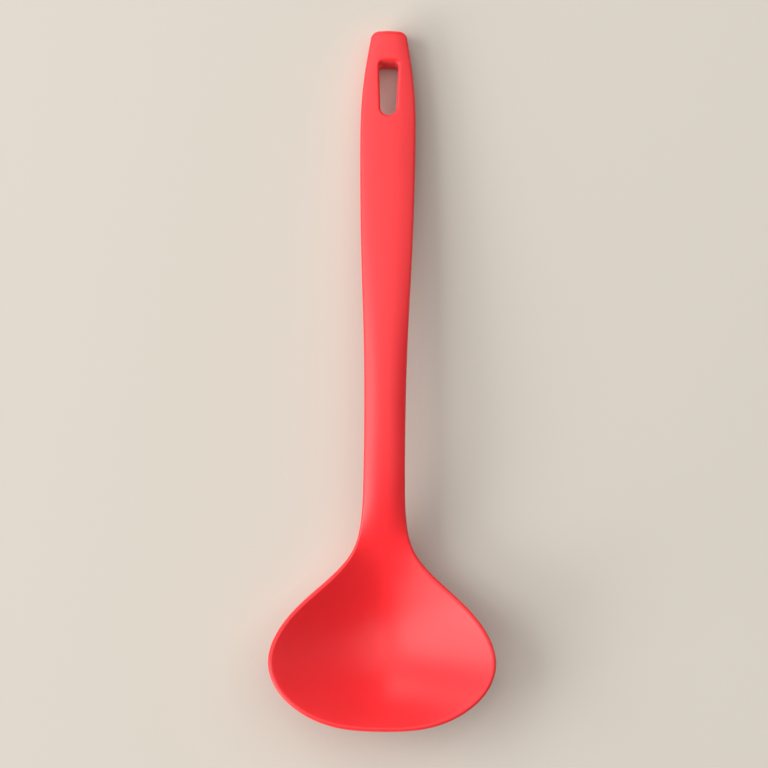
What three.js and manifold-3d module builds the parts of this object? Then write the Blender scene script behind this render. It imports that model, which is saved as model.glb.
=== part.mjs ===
// A one-piece silicone soup ladle: a stiff nylon core, moulded over with a red silicone skin.
// Millimetres, +Z up. The ladle lies as it would on a table, on the flat under its bowl and the pad
// under its handle's end. +Y runs along the handle to the hanging hole, -Y to the front lip, and X
// runs across. The origin is on the table, in the middle of the ladle's length.
import * as THREE from "three";
import { mergeVertices } from "three/addons/utils/BufferGeometryUtils.js";
import Module from "manifold-3d";

const wasm = await Module();
wasm.setup();
const { lerp, smoothstep, degToRad } = THREE.MathUtils;

// ---------------------------------------------------------------- driving dimensions

const LENGTH = 290; // front lip to handle end
const END_Y = LENGTH / 2;
const LIP_Y = -LENGTH / 2;
const LIP_HEIGHT = 34; // middle of the rim's thickness, at the front lip
const RIM_RADIUS = 1.2; // the rim is 2.4 mm thick and rounded over
const RIM_TURN = degToRad(125); // how far round it goes before it runs into the bowl's wall
const BOWL_CONE = 3.2; // the bowl's section: 0 is a parabola, more is nearer to a rounded cone
const WALL_SWELL = 0.8; // 1 gives the bowl's outside the same section, less swells it to the rim
const CORNER_RADIUS = 1.5; // rounding of the handle's upper edges
const CORNER_TURN = degToRad(58); // how far round it goes before it runs into the arched top
const ARCH_POWER = 2.2; // 2 is evenly arched, more is flatter along the middle
const END_ROUND = 2; // rounding of the handle's end face
const END_SAG = 0.9; // how far the end face's corners fall behind its middle
const END_SAG_LENGTH = 20;
const NECK_START_Y = -66; // the handle's section turns into the bowl's from here
const NECK_END_Y = -90; // to here

const SKIN_HANDLE = 1.6; // silicone thickness over the core
const SKIN_BOWL = 0.9;
const CORE_START_Y = 140.5;
const CORE_END_Y = -140; // the core's front edge, behind the lip
const CORE_INSET = 2; // the core's sides are this far round from the handle's widest line
const LIP_DEPTH = 5.5; // the core stops this far below the rim, which leaves a soft silicone lip
const SLANT = 1.8; // the core's slanted edge there takes this many gaps along the wall
const CORE_NECK_LENGTH = 30; // over which the one inset becomes the other
const BOND_GAP = 0.3; // modelling gap where the silicone is bonded to the core

const SLOT = { low: 109.6, high: 132.1, lowHalf: 3.2, highHalf: 4.1, lowRound: 3, highRound: 1.8 };
const SLOT_BULGE = 0.1; // how far each side is wider than straight where it leaves the low corners
const SLOT_CHAMFER = 1.2;
const SLOT_TILT = degToRad(-10); // the handle falls towards its end, and the hole leans with it

// The windows through the core that lock the silicone to it, and where they are along Y.
const HANDLE_KEY = { width: 6, length: 16, places: [79, 53, 27, 1, -25] };
const BOWL_KEY = { radius: 2.5, fromRim: 11, places: [-88, -99, -111, -124] };
// The round marks under the handle where the mould's pins held the core, open onto it.
const PIN_MARK = { radius: 1.5, depth: 2.2, places: [92, -39] };
const BEYOND = 6; // how far a cutter reaches past the surface that it cuts
const PRESSED = 1e-3; // a ring narrower than this is an edge

// Where the rim's round ends, from its outermost point.
const RIM_INWARD = RIM_RADIUS * (1 - Math.cos(RIM_TURN));
const RIM_ABOVE = RIM_RADIUS * Math.sin(RIM_TURN);

// Half of the outline in plan, from the handle's end to the lip: [x, y].
const OUTLINE = [
  [7.2, END_Y], [9.3, 132], [11.2, 114], [11.5, 94], [10.6, 52], [9.1, 15], [8.5, -20],
  [8.6, -44], [9.6, -61.5], [12.3, -71.8], [19.4, -81.5], [30, -91.1], [39.5, -100.6],
  [45.3, -110.1], [46.9, -117.4], [44.5, -126.8], [36, -136.1], [19.9, -143.3], [0, LIP_Y],
];
// Height of the widest line, along the handle's sides and then the rim: [y, z].
const EDGE = [
  [END_Y, 7.7], [100, 10.5], [50, 14.8], [15, 17.7], [-15, 19.6], [-38, 20.3], [-54, 18.9],
  [-64, 16.9], [-73, 14.8], [-85, 14.4], [-100, 19.6], [-117, 26], [-132, 30], [LIP_Y, LIP_HEIGHT],
];
// Middle line of the top: along the handle, down into the bowl and up to the lip: [y, z].
const TOP = [
  [END_Y, 10.2], [100, 13.3], [50, 17.8], [15, 21.1], [-15, 23.2], [-38, 23.7], [-55, 22.1],
  [-66, 18.6], [-75, 13.4], [-84, 8.3], [-94, 4.6], [-104, 3.5], [-114, 5], [-124, 9],
  [-132, 15], [-138, 23], [LIP_Y + RIM_INWARD, LIP_HEIGHT + RIM_ABOVE],
];
// Middle line of the underside: [y, z]. It dips below the table where the flats are cut.
const UNDERSIDE = [
  [END_Y, -0.25], [133, -0.25], [120, 0.6], [100, 2.7], [50, 7.4], [15, 10.3], [-15, 12.2],
  [-38, 12.6], [-55, 11], [-67, 7.2], [-77, 3.4], [-87, 0.5], [-96, -0.6], [-106, -0.45],
  [-117, 2.4], [-127, 7.2], [-135.5, 14], [-142, 23], [LIP_Y, LIP_HEIGHT],
];
// Squareness of the handle's rounded underside: 2 is an ellipse, more is squarer: [y, exponent].
const SQUARENESS = [[LIP_Y, 2], [-60, 2], [-20, 2.2], [20, 2.5], [80, 3], [END_Y, 3.2]];

// How finely the surfaces are divided.
const HANDLE_STEP = 8;
const BOWL_STEP = 4.4;
const END_STEPS = 3;
const RIM_STEPS = 4; // over the half circle of the rim
const TOP_STEPS = 8; // from the rim to the middle line
const UNDER_STEPS = 8;
const CORE_STEPS = 5;
const ROUND_STEPS = 12; // sides of a full circle

// ---------------------------------------------------------------- curves

// The natural cubic spline through [key, value] pairs in rising key order, as a function.
function naturalSpline(points) {
  const last = points.length - 1;
  const gap = (i) => points[i + 1][0] - points[i][0];
  const slope = (i) => (points[i + 1][1] - points[i][1]) / gap(i);
  const second = new Array(last + 1).fill(0);
  const carry = new Array(last + 1).fill(0);
  for (let i = 1; i < last; i++) {
    const pivot = 2 * (gap(i - 1) + gap(i)) - gap(i - 1) * carry[i - 1];
    carry[i] = gap(i) / pivot;
    second[i] = (6 * (slope(i) - slope(i - 1)) - gap(i - 1) * second[i - 1]) / pivot;
  }
  for (let i = last - 1; i > 0; i--) second[i] -= carry[i] * second[i + 1];
  return (key) => {
    let i = 0;
    while (i < last - 1 && key > points[i + 1][0]) i++;
    const b = (key - points[i][0]) / gap(i);
    const a = 1 - b;
    const bend = ((a ** 3 - a) * second[i] + (b ** 3 - b) * second[i + 1]) * gap(i) ** 2;
    return a * points[i][1] + b * points[i + 1][1] + bend / 6;
  };
}

// A smooth plane curve through points, as a function of the share of its length from 0 to 1.
function smoothCurve(points) {
  const length = [0];
  for (let i = 1; i < points.length; i++) {
    const step = Math.hypot(points[i][0] - points[i - 1][0], points[i][1] - points[i - 1][1]);
    length.push(length[i - 1] + step);
  }
  const total = length.at(-1);
  const part = (axis) => naturalSpline(points.map((p, i) => [length[i] / total, p[axis]]));
  const [first, second] = [part(0), part(1)];
  return (share) => [first(share), second(share)];
}

// The points again, followed by their mirror image past the last one, so that the curve through
// them meets the mirror line square on.
function mirroredPast(points, mirror) {
  return [...points, ...points.slice(0, -1).reverse().map(mirror)];
}

// The share of a curve, up to the given one, at which its falling coordinate reaches a value.
function shareWhere(curve, axis, value, upTo = 0.5) {
  let [low, high] = [0, upTo];
  for (let i = 0; i < 50; i++) {
    const middle = (low + high) / 2;
    if (curve(middle)[axis] > value) low = middle;
    else high = middle;
  }
  return (low + high) / 2;
}

// A middle line's height for any y.
function heightLine(curve, upTo) {
  return (y) => curve(shareWhere(curve, 0, y, upTo))[1];
}

const outline = smoothCurve(mirroredPast(OUTLINE, ([x, y]) => [-x, y]));
const topHeight = heightLine(smoothCurve(TOP), 1);
const upToLip = mirroredPast(UNDERSIDE, ([y, z]) => [y, 2 * LIP_HEIGHT - z]);
const undersideHeight = heightLine(smoothCurve(upToLip), 0.5);
const edgeHeight = naturalSpline(EDGE.toReversed());
const squareness = naturalSpline(SQUARENESS);

// ---------------------------------------------------------------- cross-sections

// One station across the ladle: its outermost point, the outward direction there in plan, and the
// heights that its section needs.
function stationAt(share) {
  const small = 1e-4;
  const [x, y] = outline(share);
  const [before, after] = [outline(share - small), outline(share + small)];
  const along = new THREE.Vector2(after[0] - before[0], after[1] - before[1]).normalize();
  const normal = new THREE.Vector2(-along.y, along.x);
  const innerX = x - RIM_INWARD * normal.x;
  const innerY = y - RIM_INWARD * normal.y;
  const edge = edgeHeight(y);
  return {
    x,
    y,
    normal,
    innerX,
    innerY,
    edge,
    rise: topHeight(y) - edge, // of the handle's top above its widest line
    fall: edge - undersideHeight(y),
    depth: edge + RIM_ABOVE - topHeight(innerY), // of the bowl's inside below the rim's round
    power: 2 / squareness(y),
    neck: smoothstep(-y, -NECK_START_Y, -NECK_END_Y), // 0 on the handle, 1 on the bowl
  };
}

// A point of a quarter of a superellipse: [share of the width, share of the height].
function quarter(angle, power) {
  return [Math.max(0, Math.cos(angle)) ** power, Math.sin(angle) ** power];
}

// How far up the bowl's wall has come, from 0 to 1, at a share of its half-width from the middle.
function climb(side) {
  return (Math.hypot(1, BOWL_CONE * side) - 1) / (Math.hypot(1, BOWL_CONE) - 1);
}

const RIM_SHARE = RIM_STEPS / (RIM_STEPS + TOP_STEPS);

// How far u has gone from the end of the rounded edge to the middle line.
const pastRim = (u) => (u - RIM_SHARE) / (1 - RIM_SHARE);

// The right half of the handle's top: a rounded edge, then an arch to the middle line.
function handleTop(s, u) {
  const angle = Math.min(1, u / RIM_SHARE) * CORNER_TURN;
  const x = s.x - CORNER_RADIUS * (1 - Math.cos(angle));
  const z = s.edge + CORNER_RADIUS * Math.sin(angle);
  if (u < RIM_SHARE) return new THREE.Vector3(x, s.y, z);
  const side = 1 - pastRim(u);
  const top = s.edge + s.rise;
  return new THREE.Vector3(x * side, s.y, top - (top - z) * side ** ARCH_POWER);
}

// The right half of the bowl's inside: over the rim and down the wall to the middle line.
function bowlTop(s, u) {
  if (u < RIM_SHARE) {
    const angle = (u / RIM_SHARE) * RIM_TURN;
    const inward = RIM_RADIUS * (1 - Math.cos(angle));
    const above = RIM_RADIUS * Math.sin(angle);
    return new THREE.Vector3(s.x - inward * s.normal.x, s.y - inward * s.normal.y, s.edge + above);
  }
  const side = 1 - pastRim(u);
  const down = s.depth * (1 - climb(side));
  return new THREE.Vector3(s.innerX * side, s.innerY, s.edge + RIM_ABOVE - down);
}

// The right half of the top at a station: u is 0 at the outermost point and 1 on the middle line.
function topPoint(s, u) {
  return handleTop(s, u).lerp(bowlTop(s, u), s.neck);
}

// The right half of the underside: v is 0 at the outermost point and 1 on the middle line.
function underPoint(s, v) {
  const angle = (v * Math.PI) / 2;
  const [across, down] = quarter(angle, s.power);
  const handle = new THREE.Vector3(s.x * across, s.y, s.edge - s.fall * down);
  const side = Math.max(0, Math.cos(angle));
  const bowlDown = Math.max(0, 1 - climb(side)) ** WALL_SWELL;
  return handle.lerp(new THREE.Vector3(s.x * side, s.y, s.edge - s.fall * bowlDown), s.neck);
}

// The point this far inside the skin, square to the surface.
function inside(surface, share, u, depth) {
  const small = 1e-3;
  const at = (shareStep, uStep) => surface(stationAt(share + shareStep), u + uStep);
  const along = at(small, 0).sub(at(-small, 0));
  const across = at(0, -small).sub(at(0, -2 * small));
  const normal = along.cross(across).normalize();
  return at(0, 0).addScaledVector(normal, surface === topPoint ? depth : -depth);
}

// ---------------------------------------------------------------- solids

function toSolid(geometry) {
  const bare = geometry.index ? geometry.toNonIndexed() : geometry.clone();
  bare.deleteAttribute("normal");
  bare.deleteAttribute("uv");
  const merged = mergeVertices(bare, 1e-4);
  const corners = [...merged.index.array];
  const kept = [];
  for (let i = 0; i < corners.length; i += 3) {
    const [a, b, c] = corners.slice(i, i + 3);
    if (a !== b && b !== c && c !== a) kept.push(a, b, c);
  }
  const vertProperties = merged.attributes.position.array;
  const triVerts = new Uint32Array(kept);
  return new wasm.Manifold(new wasm.Mesh({ numProp: 3, vertProperties, triVerts }));
}

function toMesh(solid, name, material) {
  const { vertProperties, triVerts, numProp } = solid.getMesh();
  const geometry = new THREE.BufferGeometry();
  const points = new THREE.InterleavedBuffer(vertProperties, numProp);
  geometry.setAttribute("position", new THREE.InterleavedBufferAttribute(points, 3, 0));
  geometry.setIndex(new THREE.BufferAttribute(triVerts, 1));
  const mesh = new THREE.Mesh(geometry.toNonIndexed(), material);
  mesh.geometry.computeVertexNormals();
  mesh.name = name;
  return mesh;
}

// A closed body through rings of the same number of points, with a flat fan on each end unless
// the ring there is pressed flat into an edge.
function loft(rings) {
  const positions = [];
  const face = (...points) => points.forEach((p) => positions.push(p.x, p.y, p.z));
  const count = rings[0].length;
  for (let i = 1; i < rings.length; i++) {
    for (let k = 0; k < count; k++) {
      const next = (k + 1) % count;
      face(rings[i - 1][k], rings[i][next], rings[i][k]);
      face(rings[i - 1][k], rings[i - 1][next], rings[i][next]);
    }
  }
  const cap = (ring, turn) => {
    const middle = ring.reduce((sum, p) => sum.add(p), new THREE.Vector3()).divideScalar(count);
    for (let k = 0; k < count; k++) {
      const next = (k + 1) % count;
      if (turn) face(middle, ring[k], ring[next]);
      else face(middle, ring[next], ring[k]);
    }
  };
  cap(rings[0], false);
  if (rings.at(-1).some((p) => Math.abs(p.x) > PRESSED)) cap(rings.at(-1), true);
  const geometry = new THREE.BufferGeometry();
  geometry.setAttribute("position", new THREE.Float32BufferAttribute(positions, 3));
  return toSolid(geometry);
}

// A ring from the right halves of a top and an underside, each from the side to the middle line.
function ringFrom(top, under) {
  const mirror = (p) => new THREE.Vector3(-p.x, p.y, p.z);
  const right = [...under.toReversed(), ...top.slice(under[0].equals(top[0]) ? 1 : 0)];
  const left = right.slice(1, -1).toReversed().map(mirror);
  return [...right, ...left];
}

const steps = (count) => Array.from({ length: count + 1 }, (_, i) => i / count);

// Shares of the outline at even steps of about the given length, between two shares.
function sharesBetween(from, to, step) {
  const length = outlineLength * (to - from);
  return steps(Math.round(length / step)).map((k) => lerp(from, to, k));
}

const outlineLength = steps(400).reduce((sum, k, i, all) => {
  if (i === 0) return 0;
  const [a, b] = [outline(all[i - 1]), outline(k)];
  return sum + Math.hypot(a[0] - b[0], a[1] - b[1]);
}, 0);
const shareAtY = (y) => shareWhere(outline, 1, y);

// The end face's corners fall behind its middle.
function sagEnd(point) {
  const nearEnd = smoothstep(point.y, END_Y - END_SAG_LENGTH, END_Y);
  point.y -= END_SAG * (point.x / OUTLINE[0][0]) ** 2 * nearEnd;
  return point;
}

// The rings of the handle's rounded end, from the flat of the end face outwards.
function endRings() {
  return steps(END_STEPS)
    .slice(0, -1)
    .map((k) => {
      const angle = (k * Math.PI) / 2;
      const y = END_Y - END_ROUND * (1 - Math.cos(angle));
      const inset = END_ROUND * (1 - Math.sin(angle));
      const s = stationAt(shareAtY(y));
      const shrunk = { ...s, x: s.x - inset, rise: s.rise - inset, fall: s.fall - inset };
      return sectionRing(shrunk);
    });
}

function sectionRing(s) {
  const top = steps(RIM_STEPS + TOP_STEPS).map((u) => sagEnd(topPoint(s, u)));
  const under = steps(UNDER_STEPS).map((v) => sagEnd(underPoint(s, v)));
  return ringFrom(top, under);
}

// The whole outside of the ladle as one body, before its flats and its hanging hole.
function outerBody() {
  const handleEnd = shareAtY(END_Y - END_ROUND);
  const neck = shareAtY(NECK_START_Y + BOWL_STEP);
  const shares = [
    ...sharesBetween(handleEnd, neck, HANDLE_STEP).slice(0, -1),
    ...sharesBetween(neck, 0.5, BOWL_STEP),
  ];
  return loft([...endRings(), ...shares.map((share) => sectionRing(stationAt(share)))]);
}

// How far the bowl's wall reaches below the rim at a station.
const bowlDepth = (s) => Math.min(s.depth, s.fall);

// How far round a section a surface has gone this distance from where it started.
function roundTo(surface, s, start, distance) {
  const from = surface(s, start);
  let [low, high] = [start, 1];
  for (let i = 0; i < 30; i++) {
    const middle = (low + high) / 2;
    if (surface(s, middle).distanceTo(from) < distance) low = middle;
    else high = middle;
  }
  return low;
}

// Where the core's faces end at a station: near the handle's side, or LIP_DEPTH below the rim.
function coreEdge(s, grow) {
  const blend = smoothstep(-s.y, -NECK_START_Y, CORE_NECK_LENGTH - NECK_START_Y);
  const inset = lerp(CORE_INSET, LIP_DEPTH, blend) - grow * lerp(1, SLANT, blend);
  return {
    top: roundTo(topPoint, s, RIM_SHARE * s.neck, inset),
    under: roundTo(underPoint, s, 0, inset),
  };
}

// The share of the outline, past the bowl's widest place, where the bowl is this deep.
function shareOfDepth(depth) {
  let [low, high] = [shareAtY(-120), 0.5];
  for (let i = 0; i < 50; i++) {
    const middle = (low + high) / 2;
    if (bowlDepth(stationAt(middle)) > depth) low = middle;
    else high = middle;
  }
  return low;
}

// The core's body, grown by this much on every side: 0 for the core, BOND_GAP for its cavity. Both
// are divided alike, so that their flat facets keep the gap between them.
function coreBody(grow) {
  const neck = shareAtY(NECK_START_Y + BOWL_STEP);
  const shares = [
    ...sharesBetween(shareAtY(CORE_START_Y), neck, HANDLE_STEP).slice(0, -1),
    ...sharesBetween(neck, shareOfDepth(LIP_DEPTH), BOWL_STEP),
  ];
  shares[0] = shareAtY(CORE_START_Y + grow);
  const rings = shares.map((share) => {
    const s = stationAt(share);
    const [edge, grown] = [coreEdge(s, 0), coreEdge(s, grow)];
    const skin = lerp(SKIN_HANDLE, SKIN_BOWL, s.neck) - grow;
    const face = (surface, from, grownFrom) =>
      steps(CORE_STEPS).map((k) => {
        const along = k === 0 ? grownFrom : lerp(from, 1, k);
        const point = inside(surface, share, along, skin);
        if (k === 1) point.x = 0;
        return point;
      });
    const top = face(topPoint, edge.top, grown.top);
    return ringFrom(top, face(underPoint, edge.under, grown.under));
  });
  return loft(rings);
}

// ---------------------------------------------------------------- cutters

function placed(geometry, position, rotation = new THREE.Euler()) {
  const turn = new THREE.Quaternion().setFromEuler(rotation);
  const matrix = new THREE.Matrix4().compose(position, turn, new THREE.Vector3(1, 1, 1));
  return toSolid(geometry.applyMatrix4(matrix));
}

// The hanging hole in plan: a rounded slot, a little wider towards the handle's end.
function slotShape(grow) {
  const { low, high, lowHalf, highHalf, lowRound, highRound } = SLOT;
  const shape = new THREE.Shape();
  const lowY = low - grow;
  const highY = high + grow;
  const [lowX, highX] = [lowHalf + grow, highHalf + grow];
  const [lowR, highR] = [lowRound + grow, highRound + grow];
  shape.moveTo(-lowX + lowR, lowY);
  shape.lineTo(lowX - lowR, lowY);
  shape.quadraticCurveTo(lowX, lowY, lowX + SLOT_BULGE, lowY + lowR);
  shape.lineTo(highX, highY - highR);
  shape.quadraticCurveTo(highX, highY, highX - highR, highY);
  shape.lineTo(-highX + highR, highY);
  shape.quadraticCurveTo(-highX, highY, -highX, highY - highR);
  shape.lineTo(-lowX - SLOT_BULGE, lowY + lowR);
  shape.quadraticCurveTo(-lowX, lowY, -lowX + lowR, lowY);
  return shape;
}

const slotMiddle = (SLOT.low + SLOT.high) / 2;
const slotTop = topHeight(slotMiddle);
const slotBottom = undersideHeight(slotMiddle);

// An upright prism of the slot, square to the handle there, between two heights at its middle.
function slotPrism(grow, from, to, bevel = 0) {
  const geometry = new THREE.ExtrudeGeometry(slotShape(grow), {
    depth: to - from - 2 * bevel,
    curveSegments: 4,
    bevelEnabled: bevel > 0,
    bevelThickness: bevel,
    bevelSize: bevel,
    bevelSegments: 1,
  });
  geometry.translate(0, -slotMiddle, from + bevel - slotTop);
  const rotation = new THREE.Euler(SLOT_TILT, 0, 0);
  return placed(geometry, new THREE.Vector3(0, slotMiddle, slotTop), rotation);
}

// The slot through the skin, with a chamfer at both mouths.
function hangingHole() {
  const through = slotPrism(0, slotBottom - BEYOND, slotTop + BEYOND);
  const above = slotPrism(0, slotTop - SLOT_CHAMFER, slotTop + BEYOND, SLOT_CHAMFER);
  const below = slotPrism(0, slotBottom - BEYOND, slotBottom + SLOT_CHAMFER, SLOT_CHAMFER);
  return through.add(above).add(below);
}

// Everything below this height above the table.
function allBelow(height) {
  const depth = 20;
  const box = new THREE.BoxGeometry(2 * LENGTH, 2 * LENGTH, depth);
  return placed(box, new THREE.Vector3(0, 0, height - depth / 2));
}

// Everything in front of this line across the bowl.
function allInFront(y) {
  const box = new THREE.BoxGeometry(2 * LENGTH, 2 * LENGTH, 2 * LENGTH);
  return placed(box, new THREE.Vector3(0, y - LENGTH, 0));
}

// The upright slots through the core's handle, smaller all round by this much.
function handleKeys(shrink) {
  const radius = HANDLE_KEY.width / 2 - shrink;
  const half = (HANDLE_KEY.length - HANDLE_KEY.width) / 2;
  const shape = new THREE.Shape();
  shape.absarc(0, half, radius, 0, Math.PI);
  shape.absarc(0, -half, radius, Math.PI, 2 * Math.PI);
  return HANDLE_KEY.places.map((y) => {
    const depth = topHeight(y) - undersideHeight(y) + 2 * BEYOND;
    const options = { depth, curveSegments: ROUND_STEPS / 2, bevelEnabled: false };
    const prism = new THREE.ExtrudeGeometry(shape, options);
    return placed(prism, new THREE.Vector3(0, y, undersideHeight(y) - BEYOND));
  });
}

// The round holes through the core's bowl, square to its wall, on both sides.
function bowlKeys(shrink) {
  const radius = BOWL_KEY.radius - shrink;
  const up = new THREE.Vector3(0, 1, 0);
  return BOWL_KEY.places.flatMap((y) => {
    const share = shareAtY(y);
    const u = roundTo(topPoint, stationAt(share), RIM_SHARE, BOWL_KEY.fromRim);
    const onWall = inside(topPoint, share, u, 0);
    const direction = inside(topPoint, share, u, 1).sub(onWall);
    return [-1, 1].map((side) => {
      const pin = new THREE.CylinderGeometry(radius, radius, 2 * BEYOND, ROUND_STEPS);
      const sideways = direction.clone().setX(side * direction.x);
      const turn = new THREE.Quaternion().setFromUnitVectors(up, sideways);
      const rotation = new THREE.Euler().setFromQuaternion(turn);
      return placed(pin, onWall.clone().setX(side * onWall.x), rotation);
    });
  });
}

// The upright holes from under the handle to the core.
function pinMarks() {
  const { radius, depth, places } = PIN_MARK;
  const marks = places.map((y) => {
    const pin = new THREE.CylinderGeometry(radius, radius, 2 * depth, ROUND_STEPS);
    const upright = new THREE.Euler(Math.PI / 2, 0, 0);
    return placed(pin, new THREE.Vector3(0, y, undersideHeight(y)), upright);
  });
  return wasm.Manifold.union(marks);
}

// ---------------------------------------------------------------- the two mouldings

// The core, with its eye around the hanging hole and its key windows, or with grow its cavity.
function nylonCore(grow) {
  const whole = coreBody(grow).subtract(allBelow(SKIN_BOWL - grow));
  const body = whole.subtract(allInFront(CORE_END_Y - grow));
  const eye = slotPrism(SKIN_HANDLE - grow, slotBottom - BEYOND, slotTop + BEYOND);
  const keys = wasm.Manifold.union([...handleKeys(grow), ...bowlKeys(grow)]);
  return body.subtract(eye).subtract(keys);
}

function siliconeSkin() {
  const outside = outerBody().subtract(allBelow(0)).subtract(hangingHole());
  return outside.subtract(nylonCore(BOND_GAP)).subtract(pinMarks());
}

const silicone = new THREE.MeshStandardMaterial({ color: "#f4323c", roughness: 0.55, metalness: 0 });
const nylon = new THREE.MeshStandardMaterial({ color: "#d8d2c0", roughness: 0.5, metalness: 0 });

const ladle = new THREE.Group();
ladle.add(toMesh(siliconeSkin(), "silicone_skin", silicone));
ladle.add(toMesh(nylonCore(0), "nylon_core", nylon));

export default ladle;
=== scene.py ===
# A one-piece silicone ladle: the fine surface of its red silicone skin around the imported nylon
# core, with both materials, a pale floor, soft light and a camera straight above.
import math
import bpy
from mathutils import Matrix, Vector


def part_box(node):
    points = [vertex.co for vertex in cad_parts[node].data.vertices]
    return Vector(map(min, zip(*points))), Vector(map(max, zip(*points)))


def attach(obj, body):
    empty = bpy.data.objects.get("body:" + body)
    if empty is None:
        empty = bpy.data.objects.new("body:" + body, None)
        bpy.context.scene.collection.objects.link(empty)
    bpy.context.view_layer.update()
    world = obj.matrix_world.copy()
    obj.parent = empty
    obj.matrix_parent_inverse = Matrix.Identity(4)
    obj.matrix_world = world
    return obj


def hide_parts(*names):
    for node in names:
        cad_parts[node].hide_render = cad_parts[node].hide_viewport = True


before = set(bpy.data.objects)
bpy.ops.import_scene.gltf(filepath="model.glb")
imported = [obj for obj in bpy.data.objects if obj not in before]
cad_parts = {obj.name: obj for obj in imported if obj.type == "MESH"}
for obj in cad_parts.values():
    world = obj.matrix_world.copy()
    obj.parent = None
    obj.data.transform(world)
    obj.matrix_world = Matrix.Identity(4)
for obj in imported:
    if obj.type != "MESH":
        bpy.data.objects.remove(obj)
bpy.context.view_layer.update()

from types import SimpleNamespace

import bmesh
import bpy
import numpy as np
from mathutils import Vector

MM = 0.001
BODY = "root"

# ------------------------------------------------------------ driving dimensions, in millimetres

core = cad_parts["nylon_core"]
skin_low, skin_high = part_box("silicone_skin")
END_Y = skin_high.y / MM
LIP_Y = skin_low.y / MM
LIP_HEIGHT = 34
RIM_RADIUS = 1.2
RIM_TURN = math.radians(125)  # how far round the rim goes before it runs into the bowl's wall
RIM_INWARD = RIM_RADIUS * (1 - math.cos(RIM_TURN))
RIM_ABOVE = RIM_RADIUS * math.sin(RIM_TURN)
BOWL_CONE = 3.2  # the bowl's section: 0 is a parabola, more is nearer to a rounded cone
WALL_SWELL = 0.8  # 1 gives the bowl's outside the same section, less swells it to the rim
CORNER_RADIUS = 1.5  # rounding of the handle's upper edges
CORNER_TURN = math.radians(58)  # how far round it goes before it runs into the arched top
ARCH_POWER = 2.2  # 2 is evenly arched, more is flatter along the middle
END_ROUND = 2  # rounding of the handle's end face
END_SAG = 0.9  # how far the end face's corners fall behind its middle
END_SAG_LENGTH = 20
NECK_START_Y = -66  # the handle's section turns into the bowl's from here
NECK_END_Y = -90  # to here

# The hanging slot: its ends and half-widths at the handle's top, and the rounding of its corners.
SLOT = SimpleNamespace(
    low=109.6, high=132.1, low_half=3.2, high_half=4.1, low_round=3, high_round=1.8
)
SLOT_MIDDLE = (SLOT.low + SLOT.high) / 2
SLOT_LEAN = math.tan(math.radians(10))  # the hole leans with the handle, which falls to its end
SLOT_TOP_ROUND = 1.35  # rounding of the hole's edge, above and below
SLOT_UNDER_ROUND = 1.0
SLOT_CORE = 3.2  # the slot's edge points are found along rays from a line this far from its ends
SLOT_MARGIN = 5  # the surface is divided afresh this far past the slot's ends

# The mould's pin marks under the handle, which reach down to the core.
PIN_PLACES = (92, -39)
PIN_RADIUS = 1.5
PIN_DEPTH = 2.2
PIN_ROUND = 0.3
PIN_MARGIN = 4

# The mould's parting line: a fine ridge along the widest line of handle and bowl.
RIDGE_HEIGHT = 0.07
RIDGE_WIDTH = 0.22
FLAT_SOFTNESS = 0.15  # the flats under bowl and handle end blend in over about this height

# Half of the outline in plan, from the handle's end to the lip: (x, y).
OUTLINE = [
    (7.2, END_Y), (9.3, 132), (11.2, 114), (11.5, 94), (10.6, 52), (9.1, 15), (8.5, -20),
    (8.6, -44), (9.6, -61.5), (12.3, -71.8), (19.4, -81.5), (30, -91.1), (39.5, -100.6),
    (45.3, -110.1), (46.9, -117.4), (44.5, -126.8), (36, -136.1), (19.9, -143.3), (0, LIP_Y),
]
# Height of the widest line, along the handle's sides and then the rim: (y, z).
EDGE = [
    (END_Y, 7.7), (100, 10.5), (50, 14.8), (15, 17.7), (-15, 19.6), (-38, 20.3), (-54, 18.9),
    (-64, 16.9), (-73, 14.8), (-85, 14.4), (-100, 19.6), (-117, 26), (-132, 30),
    (LIP_Y, LIP_HEIGHT),
]
# Middle line of the top: along the handle, down into the bowl and up to the lip: (y, z).
TOP = [
    (END_Y, 10.2), (100, 13.3), (50, 17.8), (15, 21.1), (-15, 23.2), (-38, 23.7), (-55, 22.1),
    (-66, 18.6), (-75, 13.4), (-84, 8.3), (-94, 4.6), (-104, 3.5), (-114, 5), (-124, 9),
    (-132, 15), (-138, 23), (LIP_Y + RIM_INWARD, LIP_HEIGHT + RIM_ABOVE),
]
# Middle line of the underside: (y, z). It dips below the table where the flats are.
UNDERSIDE = [
    (END_Y, -0.25), (133, -0.25), (120, 0.6), (100, 2.7), (50, 7.4), (15, 10.3), (-15, 12.2),
    (-38, 12.6), (-55, 11), (-67, 7.2), (-77, 3.4), (-87, 0.5), (-96, -0.6), (-106, -0.45),
    (-117, 2.4), (-127, 7.2), (-135.5, 14), (-142, 23), (LIP_Y, LIP_HEIGHT),
]
# Squareness of the handle's rounded underside: 2 is an ellipse, more is squarer: (y, exponent).
SQUARENESS = [(END_Y, 3.2), (80, 3), (20, 2.5), (-20, 2.2), (-60, 2), (LIP_Y, 2)]

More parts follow.
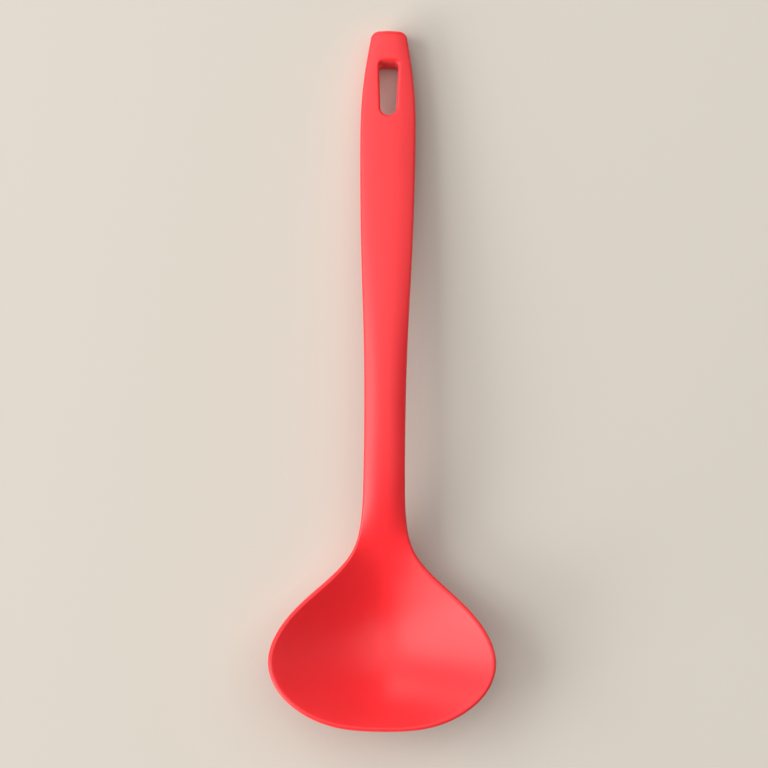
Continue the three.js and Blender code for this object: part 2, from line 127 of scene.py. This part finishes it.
# How finely the surface is divided.
CURVE_STEPS = 6001  # along half of a curve, where its points are looked up
HANDLE_STEP = 1.6
BOWL_STEP = 0.85
ROWS_FROM_Y = -50  # the bowl's finer rows start here
CAP_STEPS = 5
ROUND_STEPS = 7
RIM_SHARE = 1 / 3  # the share of a section's top half that its rounded edge or rim takes
RIM_STEPS = 12
INNER_STEPS = 28
UNDER_STEPS = 40
FINE = (0.0015, 0.0035, 0.007, 0.013)  # extra steps beside the parting line, as shares of a half
FINE_END = 0.024  # the even steps start again here below the parting line
RIM_FINE_SCALE = 4  # above it the extra steps are shares of the rim's round, this much larger
RIM_FINE_END = 0.08
PATCH_COLUMNS = 20  # half the width of the patch around an opening
PIN_COLUMNS = 9
PATCH_RINGS = 5
ROUND_RINGS = 6
WALL_RINGS = 5
HALVINGS = 40  # in the search for the slot's edge
SAME_POINT = 1e-7  # in metres: mesh points that are closer than this are one
SHARP_ANGLE = math.radians(50)  # edges that turn more than this are shaded sharp

# ------------------------------------------------------------ curves


def natural_spline(keys, values):
    """The natural cubic spline through (key, value) pairs in rising key order, as a function."""
    keys, values = np.asarray(keys, float), np.asarray(values, float)
    gaps = np.diff(keys)
    slopes = np.diff(values) / gaps
    system, right = np.eye(len(keys)), np.zeros(len(keys))
    for i in range(1, len(keys) - 1):
        system[i, i - 1 : i + 2] = gaps[i - 1], 2 * (gaps[i - 1] + gaps[i]), gaps[i]
        right[i] = 6 * (slopes[i] - slopes[i - 1])
    second = np.linalg.solve(system, right)

    def curve(key):
        i = np.clip(np.searchsorted(keys, key) - 1, 0, len(keys) - 2)
        b = (key - keys[i]) / gaps[i]
        a = 1 - b
        bend = (a**3 - a) * second[i] + (b**3 - b) * second[i + 1]
        return a * values[i] + b * values[i + 1] + bend * gaps[i] ** 2 / 6

    return curve


def smooth_curve(points):
    """A smooth plane curve through points, as a function of a share of its length, from 0 to 1."""
    points = np.asarray(points, float)
    steps = np.hypot(*np.diff(points, axis=0).T)
    share = np.concatenate([[0], np.cumsum(steps)]) / steps.sum()
    first, second = (natural_spline(share, points[:, axis]) for axis in (0, 1))
    return lambda s: (first(s), second(s))


def mirrored_past(points, mirror):
    """The points, then their mirror image past the last, so the curve meets the mirror square on."""
    return points + [mirror(p) for p in reversed(points[:-1])]


HALF = np.linspace(0, 0.5, CURVE_STEPS)


def height_line(curve, shares):
    """The height of a plane curve of (y, z) as a function of y, looked up over these shares."""
    y, z = curve(shares)
    return lambda at: np.interp(at, y[::-1], z[::-1])


def by_y(points):
    """A spline over y through (y, value) pairs that are listed from the handle's end to the lip."""
    y, values = zip(*reversed(points))
    return natural_spline(y, values)


outline = smooth_curve(mirrored_past(OUTLINE, lambda p: (-p[0], p[1])))
outline_x, outline_y = outline(HALF)
OUTLINE_LENGTH = 2 * np.hypot(np.diff(outline_x), np.diff(outline_y)).sum()
top_height = height_line(smooth_curve(TOP), 2 * HALF)
up_to_lip = mirrored_past(UNDERSIDE, lambda p: (p[0], 2 * LIP_HEIGHT - p[1]))
under_height = height_line(smooth_curve(up_to_lip), HALF)
edge_height = by_y(EDGE)
squareness = by_y(SQUARENESS)


def share_at(y):
    """The outline's share where it passes y, on its right half."""
    return np.interp(y, outline_y[::-1], HALF[::-1])


def smoothstep(value, low, high):
    """Turns smoothly from 0 at low to 1 at high."""
    t = np.clip((value - low) / (high - low), 0, 1)
    return t * t * (3 - 2 * t)


# ------------------------------------------------------------ the ladle's outer surface


def stations(share):
    """What a cross-section needs at each share of the outline, as columns of numbers."""
    share = np.asarray(share, float).reshape(-1, 1)
    step = 1e-4
    x, y = outline(share)
    ahead, behind = outline(share + step), outline(share - step)
    along = np.stack([ahead[0] - behind[0], ahead[1] - behind[1]])
    along /= np.hypot(*along)
    normal_x, normal_y = -along[1], along[0]
    inner_x = x - RIM_INWARD * normal_x
    inner_y = y - RIM_INWARD * normal_y
    edge = edge_height(y)
    return SimpleNamespace(
        x=x, y=y, normal_x=normal_x, normal_y=normal_y, inner_x=inner_x, inner_y=inner_y, edge=edge,
        rise=top_height(y) - edge,
        fall=edge - under_height(y),
        depth=edge + RIM_ABOVE - top_height(inner_y),
        power=2 / squareness(y),
        neck=smoothstep(-y, -NECK_START_Y, -NECK_END_Y),
    )


def quarter(share, power):
    """A quarter of a superellipse: (share of the width, share of the height)."""
    angle = np.asarray(share) * math.pi / 2
    return np.maximum(0, np.cos(angle)) ** power, np.maximum(0, np.sin(angle)) ** power


def climb(side):
    """How far up the bowl's wall has come, at a share of its half-width from the middle."""
    return (np.hypot(1, BOWL_CONE * side) - 1) / (math.hypot(1, BOWL_CONE) - 1)


def past_rim(u):
    """How far u has gone from the end of the rounded edge to the middle line."""
    return np.maximum(0, (u - RIM_SHARE) / (1 - RIM_SHARE))


def arch(s, side):
    """Height of the handle's arched top, at a share of its half-width out from the middle."""
    top = s.edge + s.rise
    edge = s.edge + CORNER_RADIUS * math.sin(CORNER_TURN)
    return top - (top - edge) * side**ARCH_POWER


def handle_top(s, u):
    """The right half of the handle's top: a rounded edge, then an arch to the middle line."""
    angle = np.minimum(1, u / RIM_SHARE) * CORNER_TURN
    side = 1 - past_rim(u)
    x = (s.x - CORNER_RADIUS * (1 - np.cos(angle))) * side
    corner = s.edge + CORNER_RADIUS * np.sin(angle)
    return np.stack([x, s.y + 0 * u, np.where(u < RIM_SHARE, corner, arch(s, side))])


def bowl_top(s, u):
    """The right half of the bowl's inside: over the rim and down the wall to the middle line."""
    angle = np.minimum(1, u / RIM_SHARE) * RIM_TURN
    inward = RIM_RADIUS * (1 - np.cos(angle))
    over = RIM_RADIUS * np.sin(angle)
    rim = np.stack([s.x - inward * s.normal_x, s.y - inward * s.normal_y, s.edge + over])
    side = 1 - past_rim(u)
    down = s.depth * (1 - climb(side))
    wall = np.stack([s.inner_x * side, s.inner_y + 0 * u, s.edge + RIM_ABOVE - down])
    return np.where(u < RIM_SHARE, rim, wall)


def top_points(s, u):
    """The right half of the top: u is 0 at the outermost point and 1 on the middle line."""
    u = np.asarray(u, float).reshape(1, -1)
    handle = handle_top(s, u)
    return handle + (bowl_top(s, u) - handle) * s.neck


def under_points(s, v):
    """The right half of the underside: v is 0 at the outermost point and 1 on the middle line."""
    v = np.asarray(v, float).reshape(1, -1)
    across, down = quarter(v, s.power)
    side, _ = quarter(v, 1)
    bowl_down = np.maximum(0, 1 - climb(side)) ** WALL_SWELL
    across = across + (side - across) * s.neck
    down = down + (bowl_down - down) * s.neck
    return np.stack([s.x * across, s.y + 0 * v, s.edge - s.fall * down])


def with_ridge(s, points):
    """The parting line's ridge, pushed out along the outline's normal."""
    off = np.sqrt(((points - points[:, :, :1]) ** 2).sum(axis=0))
    push = RIDGE_HEIGHT * np.exp(-((off / RIDGE_WIDTH) ** 2))
    return points + np.stack([push * s.normal_x, push * s.normal_y, 0 * push])


def handle_surface(x, y, top):
    """The height of the handle's top or underside over points in plan."""
    s = stations(share_at(y.ravel()))
    across = np.abs(x).reshape(s.x.shape)
    if top:
        half = s.x - CORNER_RADIUS * (1 - math.cos(CORNER_TURN))
        return arch(s, across / half).reshape(y.shape)
    inside = np.maximum(0, 1 - (across / s.x) ** (2 / s.power))
    return (s.edge - s.fall * inside ** (s.power / 2)).reshape(y.shape)


def middle_height(y, top):
    """The height of the handle's top or underside on its middle line."""
    return handle_surface(np.zeros(1), np.array([y]), top)[0]


def settled(points):
    """Points of the surface after the end face's sag and the flats on the table are put in."""
    x, y, z = points
    sag = END_SAG * (x / OUTLINE[0][0]) ** 2 * smoothstep(y, END_Y - END_SAG_LENGTH, END_Y)
    return np.stack([x, y - sag, (z + np.sqrt(z * z + FLAT_SOFTNESS**2)) / 2])


# ------------------------------------------------------------ meshes


class Net:
    """A mesh as it grows: points in millimetres, and faces between them."""

    def __init__(self):
        self.points = []
        self.faces = []

    def add(self, points):
        """Adds a stack of coordinates and returns the new points' numbers in the same layout."""
        start = sum(len(p) for p in self.points)
        self.points.append(points.reshape(3, -1).T)
        return start + np.arange(points[0].size).reshape(points[0].shape)

    def bands(self, loops):
        """Quads between each closed loop and the next, which has as many points."""
        for first, second in zip(loops, loops[1:]):
            quads = zip(first, np.roll(first, -1), np.roll(second, -1), second)
            self.faces += [tuple(int(n) for n in quad) for quad in quads]

    def fan(self, loop, middle):
        """Triangles from a closed loop to its middle point."""
        self.faces += [(int(a), int(b), int(middle)) for a, b in zip(loop, np.roll(loop, -1))]

    def object(self, name):
        """The mesh as a Blender object in metres, with its faces turned outwards."""
        mesh = bpy.data.meshes.new(name)
        placed = settled(np.concatenate(self.points).T).T
        mesh.from_pydata(placed * MM, [], self.faces)
        shaped = bmesh.new()
        shaped.from_mesh(mesh)
        bmesh.ops.remove_doubles(shaped, verts=shaped.verts, dist=SAME_POINT)
        loose = [v for v in shaped.verts if not v.link_faces]
        bmesh.ops.delete(shaped, geom=loose, context="VERTS")
        bmesh.ops.recalc_face_normals(shaped, faces=shaped.faces)
        shaped.to_mesh(mesh)
        shaped.free()
        piece = bpy.data.objects.new(name, mesh)
        bpy.context.scene.collection.objects.link(piece)
        return piece


TOP_SHARES = np.concatenate([
    [0],
    np.array(FINE) * RIM_SHARE * RIM_FINE_SCALE,
    np.linspace(RIM_FINE_END, 1, RIM_STEPS) * RIM_SHARE,
    RIM_SHARE + np.linspace(0, 1, INNER_STEPS + 1)[1:] * (1 - RIM_SHARE),
])
UNDER_SHARES = np.concatenate([[0], FINE, np.linspace(FINE_END, 1, UNDER_STEPS)])
TOP_MIDDLE = len(UNDER_SHARES) + len(TOP_SHARES) - 2  # the column along the top's middle line
UNDER_MIDDLE = 0


def rings(s):
    """Whole cross-sections, from the underside's middle line round by the right side."""
    top = with_ridge(s, top_points(s, TOP_SHARES))
    under = with_ridge(s, under_points(s, UNDER_SHARES))
    right = np.concatenate([under[:, :, :0:-1], top], axis=2)
    left = right[:, :, -2:0:-1] * np.array([-1, 1, 1]).reshape(3, 1, 1)
    return np.concatenate([right, left], axis=2)


def end_rings():
    """The handle's rounded end, from the middle of its end face outwards."""
    angle = np.linspace(0, math.pi / 2, ROUND_STEPS + 1)[:-1]
    s = stations(share_at(END_Y - END_ROUND * (1 - np.cos(angle))))
    inset = (END_ROUND * (1 - np.sin(angle))).reshape(-1, 1)
    s.x, s.rise, s.fall = s.x - inset, s.rise - inset, s.fall - inset
    rounded = rings(s)
    face = rounded[:, :1]
    middle = face.mean(axis=2, keepdims=True)
    shrink = np.linspace(0, 1, CAP_STEPS + 2)[1:-1].reshape(1, -1, 1)
    return np.concatenate([middle + (face - middle) * shrink, rounded], axis=1), middle


def row_shares():
    """Shares of the outline where the surface has its rows, past the rounded end."""
    handle_y = np.arange(END_Y - END_ROUND, ROWS_FROM_Y, -HANDLE_STEP)
    start = share_at(ROWS_FROM_Y)
    count = round((0.5 - start) * OUTLINE_LENGTH / BOWL_STEP)
    return np.concatenate([share_at(handle_y), np.linspace(start, 0.5, count)])


def patch(net, grid, low, high, middle, half_columns):
    """The block of rows and columns around an opening, and its border's points and their plan."""
    placed = np.concatenate(net.points)
    rows_y = placed[grid][:, :, 1].max(axis=1)
    first = int(np.argmin(np.abs(rows_y - high)))
    last = int(np.argmin(np.abs(rows_y - low)))
    across = np.arange(-half_columns, half_columns + 1)
    if middle == UNDER_MIDDLE:
        across = -across
    across = (middle + across) % grid.shape[1]
    rows = np.arange(first, last + 1)
    places = [(first, c) for c in across] + [(r, across[-1]) for r in rows[1:]]
    places += [(last, c) for c in across[-2::-1]] + [(r, across[0]) for r in rows[-2:0:-1]]
    border = np.array([grid[place] for place in places])
    plan = placed[border].T[:2]
    return SimpleNamespace(
        first=first, last=last, across=set(across.tolist()), border=border, plan=plan
    )


def in_slot(x, y, grow):
    """Whether points in plan are inside the slot's outline, grown by this much."""
    low, high = SLOT.low - grow, SLOT.high + grow
    share = (y - SLOT.low) / (SLOT.high - SLOT.low)
    half = SLOT.low_half + (SLOT.high_half - SLOT.low_half) * share + grow
    inside = (np.abs(x) <= half) & (y >= low) & (y <= high)
    for end, radius, sign in ((low, SLOT.low_round + grow, -1), (high, SLOT.high_round + grow, 1)):
        corner_y = end - sign * radius
        past_x = np.maximum(0, np.abs(x) - (half - radius))
        past_y = np.maximum(0, sign * (y - corner_y))
        inside &= np.hypot(past_x, past_y) <= radius
    return inside


def slot_edge(x, y, grow):
    """Where rays from the slot's middle line towards points in plan cross its grown outline."""
    core_y = np.clip(y, SLOT.low + SLOT_CORE, SLOT.high - SLOT_CORE)
    low, high = np.zeros_like(x), np.ones_like(x)
    for _ in range(HALVINGS):
        middle = (low + high) / 2
        inside = in_slot(x * middle, core_y + (y - core_y) * middle, grow)
        low, high = np.where(inside, middle, low), np.where(inside, high, middle)
    return x * low, core_y + (y - core_y) * low


def rounded_over(start, corner, finish):
    """Loops of a rounded edge: conic arcs that leave start and reach finish along the corner."""
    weight = math.sqrt(0.5)  # which makes the arc a circle's where the corner is square
    loops = []
    for t in np.linspace(0, 1, ROUND_RINGS + 1)[1:]:
        a, b, c = (1 - t) ** 2, 2 * weight * t * (1 - t), t**2
        loops.append((a * start + b * corner + c * finish) / (a + b + c))
    return loops


def opening_loops(border, edge, wall, top, drop, lean):
    """Loops from a patch's border over the surface to an opening's edge and round into its wall."""
    loops = []
    for t in np.linspace(0, 1, PATCH_RINGS + 1)[1:]:
        x, y = (border[i] + (edge[i] - border[i]) * t for i in (0, 1))
        loops.append(np.stack([x, y, handle_surface(x, y, top)]))
    corner = np.stack([*wall, handle_surface(*wall, top)])
    finish = corner - np.array([0, drop * lean, drop]).reshape(3, 1)
    return loops + rounded_over(loops[-1], corner, finish)


def slot_side(net, grid, top, middle):
    """Opens the slot's patch on one face and rounds its edge; returns the patch and last loop."""
    low, high = SLOT.low - SLOT_MARGIN, SLOT.high + SLOT_MARGIN
    found = patch(net, grid, low, high, middle, PATCH_COLUMNS)
    shift = (middle_height(SLOT_MIDDLE, top) - middle_height(SLOT_MIDDLE, True)) * SLOT_LEAN
    rounding = SLOT_TOP_ROUND if top else SLOT_UNDER_ROUND
    x, y = found.plan
    edge, wall = (np.stack(slot_edge(x, y - shift, grow)) for grow in (rounding, 0))
    edge[1] += shift
    wall[1] += shift
    drop = rounding if top else -rounding
    loops = [net.add(p) for p in opening_loops(found.plan, edge, wall, top, drop, SLOT_LEAN)]
    net.bands([found.border, *loops])
    return found, loops[-1]


def slot_walls(net, top_loop, under_loop):
    """The slot's walls, straight from one rounded edge to the other."""
    placed = np.concatenate(net.points)
    upper, lower = placed[top_loop].T, placed[under_loop].T
    between = [upper + (lower - upper) * t for t in np.linspace(0, 1, WALL_RINGS + 1)[1:-1]]
    net.bands([top_loop, *(net.add(p) for p in between), under_loop])


def pin_side(net, grid, place):
    """Opens a pin mark's patch under the handle and sinks it into the core; returns the patch."""
    found = patch(net, grid, place - PIN_MARGIN, place + PIN_MARGIN, UNDER_MIDDLE, PIN_COLUMNS)
    centre = np.array([[0], [place]])
    away = found.plan - centre
    away /= np.hypot(*away)
    edge, wall = (centre + away * radius for radius in (PIN_RADIUS + PIN_ROUND, PIN_RADIUS))
    stack = opening_loops(found.plan, edge, wall, False, -PIN_ROUND, 0)
    bottom_height = under_height(place) + PIN_DEPTH
    deep = stack[-1].copy()
    deep[2] = bottom_height
    loops = [net.add(p) for p in [*stack, deep]]
    net.bands([found.border, *loops])
    bottom = net.add(np.array([[0], [place], [bottom_height]], float))
    net.fan(loops[-1], bottom[0])
    return found


def sheet(net, grid, patches):
    """Quads over the grid's rows and columns, except inside the patches."""
    count = grid.shape[1]
    for row in range(grid.shape[0] - 1):
        for column in range(count):
            following = (column + 1) % count
            inside = any(
                p.first <= row < p.last and column in p.across and following in p.across
                for p in patches
            )
            if not inside:
                corners = grid[row, column], grid[row, following]
                corners += grid[row + 1, following], grid[row + 1, column]
                net.faces.append(tuple(int(n) for n in corners))


def outer_surface():
    """The skin's whole outside, with the slot through it and the pin marks sunk into it."""
    net = Net()
    end, middle = end_rings()
    grid = net.add(np.concatenate([end, rings(stations(row_shares()))], axis=1))
    top_patch, top_loop = slot_side(net, grid, True, TOP_MIDDLE)
    under_patch, under_loop = slot_side(net, grid, False, UNDER_MIDDLE)
    slot_walls(net, top_loop, under_loop)
    pin_patches = [pin_side(net, grid, place) for place in PIN_PLACES]
    sheet(net, grid, [top_patch, under_patch, *pin_patches])
    pole = net.add(middle.reshape(3, 1))
    net.fan(grid[0], pole[0])
    return net.object("silicone_moulding")


def hollowed(piece, filling):
    """Takes the filling's own shape out of the piece, so that the piece wraps it all over."""
    shape = bmesh.new()
    shape.from_mesh(filling.data)
    bmesh.ops.remove_doubles(shape, verts=shape.verts, dist=SAME_POINT)
    cutter = bpy.data.objects.new("cutter", bpy.data.meshes.new("cutter"))
    shape.to_mesh(cutter.data)
    shape.free()
    bpy.context.scene.collection.objects.link(cutter)
    cut = piece.modifiers.new("core", "BOOLEAN")
    cut.operation = "DIFFERENCE"
    cut.solver = "MANIFOLD"
    cut.object = cutter
    bpy.context.view_layer.update()
    cut_piece = piece.evaluated_get(bpy.context.evaluated_depsgraph_get())
    mesh = bpy.data.meshes.new_from_object(cut_piece)
    piece.modifiers.clear()
    piece.data = mesh
    bpy.data.objects.remove(cutter)
    mesh.shade_smooth()
    mesh.set_sharp_from_angle(angle=SHARP_ANGLE)
    return piece


skin = hollowed(outer_surface(), core)

# ------------------------------------------------------------ materials


def shader(name):
    """A new material, its node tree and its Principled shader."""
    material = bpy.data.materials.new(name)
    material.use_nodes = True
    tree = material.node_tree
    return material, tree, tree.nodes["Principled BSDF"]


def fill(tree, target, inputs):
    """Links each of a node's inputs to a socket, or sets it to a value."""
    for key, value in inputs.items():
        if isinstance(value, bpy.types.NodeSocket):
            tree.links.new(value, target.inputs[key])
        else:
            target.inputs[key].default_value = value
    return target


def node(tree, kind, inputs):
    """A new node with these inputs."""
    return fill(tree, tree.nodes.new(kind), inputs)


def ramp(tree, factor, *stops):
    """A colour ramp's colour for a factor, from two stops: (position, colour)."""
    made = node(tree, "ShaderNodeValToRGB", {"Fac": factor})
    for element, (position, colour) in zip(made.color_ramp.elements, stops):
        element.position = position
        element.color = (*colour, 1)
    return made.outputs["Color"]


def silicone():
    """Satin red silicone: a cloudy tone and gloss, a fine moulded grain and slight translucency."""
    material, tree, surface = shader("red_silicone")
    place = node(tree, "ShaderNodeTexCoord", {}).outputs["Object"]
    cloud = node(tree, "ShaderNodeTexNoise", {"Vector": place, "Scale": 22.0, "Detail": 3.0})
    clouds = cloud.outputs["Fac"]
    tint = ramp(tree, clouds, (0.35, (0.85, 0.024, 0.031)), (0.65, (0.89, 0.027, 0.035)))
    gloss = node(tree, "ShaderNodeMapRange", {"Value": clouds, "To Min": 0.37, "To Max": 0.44})
    grain = node(tree, "ShaderNodeTexNoise", {"Vector": place, "Scale": 2600.0, "Detail": 2.0})
    bump = node(tree, "ShaderNodeBump", {
        "Height": grain.outputs["Fac"],
        "Strength": 0.25,
        "Distance": 0.00002,
    })
    fill(tree, surface, {
        "Base Color": tint,
        "Roughness": gloss.outputs["Result"],
        "Normal": bump.outputs["Normal"],
        "IOR": 1.42,
        "Subsurface Weight": 0.35,
        "Subsurface Radius": (1.0, 0.2, 0.15),
        "Subsurface Scale": 0.0015,
        "Sheen Weight": 0.12,
        "Sheen Roughness": 0.45,
        "Sheen Tint": (1.0, 0.75, 0.75, 1),
    })
    return material


def nylon():
    """Natural glass-filled nylon: short pale fibres under a dull surface."""
    material, tree, surface = shader("glass_filled_nylon")
    place = node(tree, "ShaderNodeTexCoord", {}).outputs["Object"]
    noise = node(tree, "ShaderNodeTexNoise", {"Vector": place, "Scale": 900.0, "Detail": 4.0})
    fibres = noise.outputs["Fac"]
    bump = node(tree, "ShaderNodeBump", {"Height": fibres, "Strength": 0.3, "Distance": 0.00005})
    fill(tree, surface, {
        "Base Color": ramp(tree, fibres, (0, (0.60, 0.54, 0.42)), (1, (0.78, 0.74, 0.63))),
        "Roughness": 0.5,
        "Normal": bump.outputs["Normal"],
    })
    return material


def paint(piece, material):
    """Gives a piece this one material."""
    piece.data.materials.clear()
    piece.data.materials.append(material)


paint(skin, silicone())
core_finish = nylon()
for slot in core.material_slots:
    slot.material = core_finish

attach(skin, BODY)
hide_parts("silicone_skin")

# ------------------------------------------------------------ floor, light and camera

# In metres from here on.
FLOOR_SIZE = 6.0
FLOOR_GAP = 0.0001  # below the ladle
FLOOR_COLOUR = (0.56, 0.52, 0.46, 1)
DAYLIGHT = (1.0, 0.99, 0.98)
LIGHT_DISTANCE = 4.0
# Name, azimuth and elevation in degrees, side, and strength in W/m2 where the ladle lies.
SOFTBOXES = [
    ("window", 178, 35, 2.8, 2.6),
    ("front_window", 210, 16, 2.0, 2.35),
    ("back_window", 115, 16, 2.0, 0.8),
    ("overhead_left", 135, 62, 3.6, 1.35),
    ("overhead_right", 45, 62, 3.6, 1.15),
]
ROOM_LIGHT = 0.06
BACKDROP = 0.7  # how bright the room looks past the floor's edge
VIEW_WIDTH = 0.3254  # of the table that the picture spans
CAMERA_PLACE = (-0.0005, -0.0032, 0.9)
CAMERA_TURN = math.radians(0.65)


def floor():
    """A plain pale floor."""
    bpy.ops.mesh.primitive_plane_add(size=FLOOR_SIZE, location=(0, 0, -FLOOR_GAP))
    plane = bpy.context.object
    plane.name = "floor"
    material, tree, surface = shader("pale_floor")
    fill(tree, surface, {"Base Color": FLOOR_COLOUR, "Roughness": 0.9})
    paint(plane, material)


def softbox(name, azimuth, elevation, side, strength):
    """A square area light that looks at the ladle."""
    light = bpy.data.lights.new(name, "AREA")
    light.size = side
    light.energy = math.pi * LIGHT_DISTANCE**2 * strength
    light.color = DAYLIGHT
    lamp = bpy.data.objects.new(name, light)
    bpy.context.scene.collection.objects.link(lamp)
    turn, lift = math.radians(azimuth), math.radians(elevation)
    level = math.cos(lift)
    towards = Vector((level * math.cos(turn), level * math.sin(turn), math.sin(lift)))
    lamp.location = towards * LIGHT_DISTANCE
    lamp.rotation_euler = towards.to_track_quat("Z", "Y").to_euler()
    lamp.visible_camera = False


def surroundings():
    """The room, which lights the ladle faintly and looks pale past the floor's edge."""
    world = bpy.data.worlds.new("room")
    world.use_nodes = True
    tree = world.node_tree
    seen = node(tree, "ShaderNodeLightPath", {}).outputs["Is Camera Ray"]
    levels = {"Value": seen, "To Min": ROOM_LIGHT, "To Max": BACKDROP}
    strength = node(tree, "ShaderNodeMapRange", levels).outputs["Result"]
    fill(tree, tree.nodes["Background"], {"Color": (*DAYLIGHT, 1), "Strength": strength})
    bpy.context.scene.world = world


def camera():
    """A camera straight above, turned a little about its own axis."""
    data = bpy.data.cameras.new("camera")
    data.angle = 2 * math.atan(VIEW_WIDTH / 2 / CAMERA_PLACE[2])
    placed = bpy.data.objects.new("camera", data)
    bpy.context.scene.collection.objects.link(placed)
    placed.location = CAMERA_PLACE
    placed.rotation_euler = (0, 0, CAMERA_TURN)
    bpy.context.scene.camera = placed


floor()
for box in SOFTBOXES:
    softbox(*box)
surroundings()
camera()
bpy.context.scene.view_settings.view_transform = "Standard"
